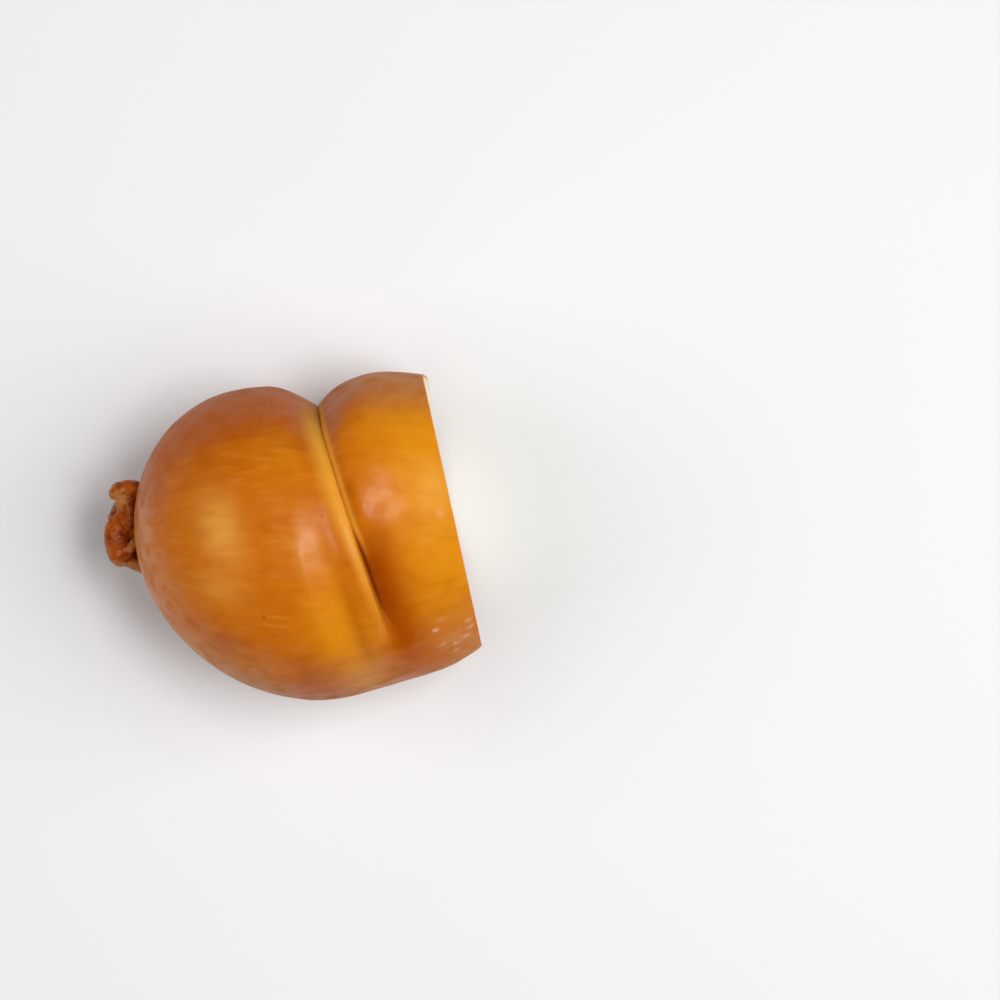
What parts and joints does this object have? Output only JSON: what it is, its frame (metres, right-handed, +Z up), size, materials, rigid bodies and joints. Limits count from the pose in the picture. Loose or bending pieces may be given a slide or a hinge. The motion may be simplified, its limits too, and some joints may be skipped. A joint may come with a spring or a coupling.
{
  "type": "smoked scamorza cheese",
  "caption": "Smoked scamorza cheese lying on its side: a round amber bulb with a folded knot, a groove pinched by a tie, and a head that ends in a flat cut.",
  "frame": {"origin": "on the surface the cheese lies on, under the middle of its bounding box", "axes": "+X from the knot towards the flat cut, +Y towards the side that the tie's groove cuts deepest, +Z up"},
  "size_m": [0.102, 0.0886, 0.0814],
  "materials": {
    "smoked_rind": "smooth, satin, smoke-browned amber rind; the cut face is pale cream"
  },
  "bodies": {
    "root": {"scamorza": "smoked_rind"}
  },
  "joints": []
}
